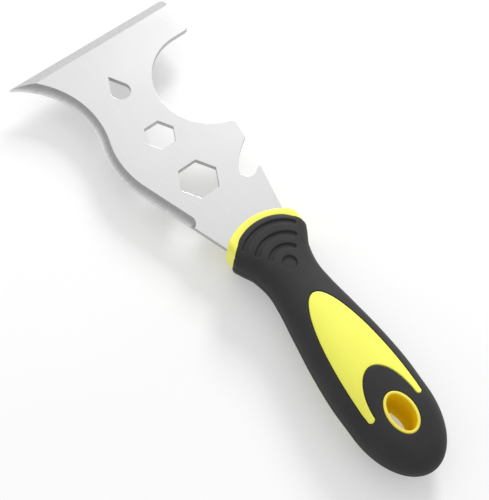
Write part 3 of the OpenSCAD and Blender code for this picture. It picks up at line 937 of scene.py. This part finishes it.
def build_grommet():
    """The lining of the hanging hole: a rounded ring on each face, joined by the hole's walls."""
    out_plan, in_plan = offset(RING_OUT, GROMMET_GAP), RING_IN
    loops = [unroll(out_plan), unroll(in_plan)]
    for d in (0.06, 0.15, GROMMET_ROUND):
        loops.append(unroll(offset(out_plan, d)))
        loops.append(unroll(offset(in_plan, -d)))
    loops.append(unroll((offset(out_plan, 0.45) + offset(in_plan, -0.45)) / 2))
    uv, f = triangulate(loops, [], np.zeros((0, 2)))
    c = uv[f].mean(1)
    uv, f = used_only(uv, f[inside(c, loops[0]) & ~inside(c, loops[1])])
    plan = surface(uv)[:, :2]
    disp = 0.04
    for rim in (out_plan, in_plan):
        disp = disp - round_drop(distance(plan, rim), GROMMET_ROUND)
    top = surface(uv) + normals_at(uv) * disp[:, None]
    f = faced_up(top, f)
    rows = 14
    edges = boundary(f)
    rim_ids = sorted({i for e in edges for i in e})
    verts = [top]
    level = {i: [i] for i in rim_ids}
    count = len(top)
    for k in range(1, rows):
        verts.append(top[rim_ids] * [1, 1, 1 - 2 * k / rows])
        for j, i in enumerate(rim_ids):
            level[i].append(count + j)
        count += len(rim_ids)
    verts.append(top * [1, 1, -1])
    for i in rim_ids:
        level[i].append(count + i)
    faces = [tuple(q) for q in f] + [(c + count, b + count, a + count) for a, b, c in f]
    for a, b in edges:
        for k in range(rows):
            faces.append((level[b][k], level[a][k], level[a][k + 1], level[b][k + 1]))
    # the hole's walls take the amber yellow, which is painted shade
    return make("hang_grommet_ring", np.vstack(verts), faces, GOLDEN, "hang_grommet", 50,
                also=[(AMBER_PAINTED_SHADE, lambda p, n: abs(n[2]) < 0.35)])


def rounded_box(w, h, r):
    """Closed loop of a rounded rectangle in (y, z), anticlockwise from the right side."""
    pts = []
    for cx, cy, a in ((w - r, h - r, 0), (-w + r, h - r, 90), (-w + r, -h + r, 180), (w - r, -h + r, 270)):
        pts.append(arc((cx, cy), r, a, a + 90, 7.5))
    return refine(dedupe(np.vstack(pts)), 0.8)


def slot_loop(reach, gap):
    """The neck's slot in the collar's end, no further out than reach."""
    lo = max(from_blade([21.5, neck_low(21.5)])[1] - 0.1, -reach)
    hi = min(from_blade([20.0, neck_high(20.0)])[1] + 0.1, reach)
    k = 22
    ys = np.linspace(lo, hi, k)
    up = np.column_stack([ys, np.full(k, gap)])
    return np.vstack([up[::-1], [[lo, 0.0]], up * [1, -1], [[hi, 0.0]]])


def build_collar():
    """Ring sections along the radius from the dimple's axis, with a slot for the neck."""
    rim = rounded_box(*COLLAR_HALF, COLLAR_CORNER)
    core = rim * [SPIGOT_HALF[0] / COLLAR_HALF[0], SPIGOT_HALF[1] / COLLAR_HALF[1]]
    under_lip, round_start = GRIP_R - 0.6, COLLAR_R - COLLAR_ROUND
    levels = [(r, core) for r in (COLLAR_REAR_R, 17.5, under_lip)]
    levels += [(r, rim) for r in (under_lip, GRIP_R, 21.0, round_start)]
    for a in (15, 30, 45, 60, 75, 90):
        a = math.radians(a)
        drop = COLLAR_ROUND * (1 - math.cos(a))
        levels.append((round_start + COLLAR_ROUND * math.sin(a), offset(rim, drop)))
    n = len(rim)

    def place(r, yz):
        """Points at distance r from the dimple's axis."""
        return np.column_stack([np.sqrt(np.maximum(r * r - yz[:, 0] ** 2, 4.0)), yz[:, 0], yz[:, 1]])

    verts = [place(r, yz) for r, yz in levels]
    faces = []
    for k in range(len(levels) - 1):
        for i in range(n):
            a, b = k * n + i, k * n + (i + 1) % n
            faces.append((a, b, b + n, a + n))
    base = len(levels) * n
    slots = []
    for at_front, (r, outline), reach in ((False, levels[0], 11.2), (True, levels[-1], 13.2)):
        slot = slot_loop(reach, TOP + SLOT_GAP)
        pts = grid((-15, 15, -7, 7), 1.4)
        pts = pts[inside(pts, outline) & ~inside(pts, slot)]
        pts = pts[(distance(pts, outline) > 0.7) & (distance(pts, slot) > 0.5)]
        v, f = triangulate([outline, slot], [], pts)
        c = v[f].mean(1)
        v, f = used_only(v, f[inside(c, outline) & ~inside(c, slot)])
        verts.append(place(r, v))
        faces += [tuple(int(i) + base for i in (t if at_front else t[::-1])) for t in f]
        base += len(v)
        slots.append(place(r, slot))
    m = len(slots[0])
    verts += slots
    for i in range(m):
        j = (i + 1) % m
        faces.append((base + j, base + i, base + m + i, base + m + j))
    verts, faces = weld(np.vstack(verts), faces)
    return make("front_collar", verts, faces, YELLOW, "collar", 40)


build_blade()
build_grip()
build_inlay("inlay_front_panel", "inlay_front", 1)
build_inlay("inlay_back_panel", "inlay_back", -1)
build_grommet()
build_collar()


# ------------------------------------------------------------------ CAD nodes that stay
CORE = yellow_material("core_plastic")
PIN = steel_material("pin_steel", 0.7)
for node_name, material in (("core_front", CORE), ("core_back", CORE), ("tang_pins", PIN)):
    for material_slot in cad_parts[node_name].material_slots:
        material_slot.material = material


# ------------------------------------------------------------------ floor, light and camera
FLOOR_HALF, FLOOR_Z = 3, -0.0004
WORLD_STRENGTH = 0.62
CAMERA_PLACE = (-0.13775, 0.12651, 0.38454)
CAMERA_TURN = (1.40602684, -2.57357652, 0.6540549)   # axis times angle, in radians
CAMERA_LENS, SENSOR = 84.66, 36.0


def floor_material():
    """Pale floor that gives off a little light, so that its shadows stay pale."""
    m = Mat("pale_floor")
    cloud = m.noise(6, None, 2, 0.5)
    m.link(m.ramp(cloud, [(0.3, (0.70, 0.70, 0.70)), (0.7, (0.73, 0.73, 0.73))]), m.bsdf.inputs["Base Color"])
    m.set(Roughness=0.9, Specular_IOR_Level=0.1, Emission_Color=(1, 1, 1, 1), Emission_Strength=0.30)
    return m.m


mesh = bpy.data.meshes.new("floor")
corners = ((-1, -1), (1, -1), (1, 1), (-1, 1))
mesh.from_pydata([(x * FLOOR_HALF, y * FLOOR_HALF, FLOOR_Z) for x, y in corners], [], [(0, 1, 2, 3)])
floor = bpy.data.objects.new("floor", mesh)
bpy.context.scene.collection.objects.link(floor)
floor.data.materials.append(floor_material())

world = bpy.data.worlds.new("studio")
bpy.context.scene.world = world
world.use_nodes = True
back = next(n for n in world.node_tree.nodes if n.type == "BACKGROUND")
back.inputs["Color"].default_value = (1, 1, 1, 1)
back.inputs["Strength"].default_value = WORLD_STRENGTH


def area_light(name, place, aim, size, watts):
    """A soft rectangular light at place, facing aim."""
    data = bpy.data.lights.new(name, "AREA")
    data.shape = "RECTANGLE"
    data.size, data.size_y = size
    data.energy = watts
    ob = bpy.data.objects.new(name, data)
    ob.location = place
    ob.rotation_euler = (Vector(aim) - Vector(place)).to_track_quat("-Z", "Y").to_euler()
    bpy.context.scene.collection.objects.link(ob)


area_light("overhead", (0.9, -0.3, 1.0), (0.1, -0.05, 0), (1.3, 1.3), 2.4)
area_light("key", (0.8, -0.78, 0.6), (0, 0, 0.01), (0.35, 0.35), 10.4)

turn = Vector(CAMERA_TURN)
rot = Matrix.Rotation(turn.length, 3, turn.normalized())
cam_data = bpy.data.cameras.new("camera")
cam_data.sensor_fit = "HORIZONTAL"
cam_data.sensor_width = SENSOR
cam_data.lens = CAMERA_LENS
cam_data.clip_start = 0.01
cam = bpy.data.objects.new("camera", cam_data)
axes = Matrix((rot[0], -rot[1], -rot[2])).transposed()
cam.matrix_world = Matrix.Translation(Vector(CAMERA_PLACE)) @ axes.to_4x4()
bpy.context.scene.collection.objects.link(cam)
bpy.context.scene.camera = cam
bpy.context.scene.view_settings.view_transform = "Standard"
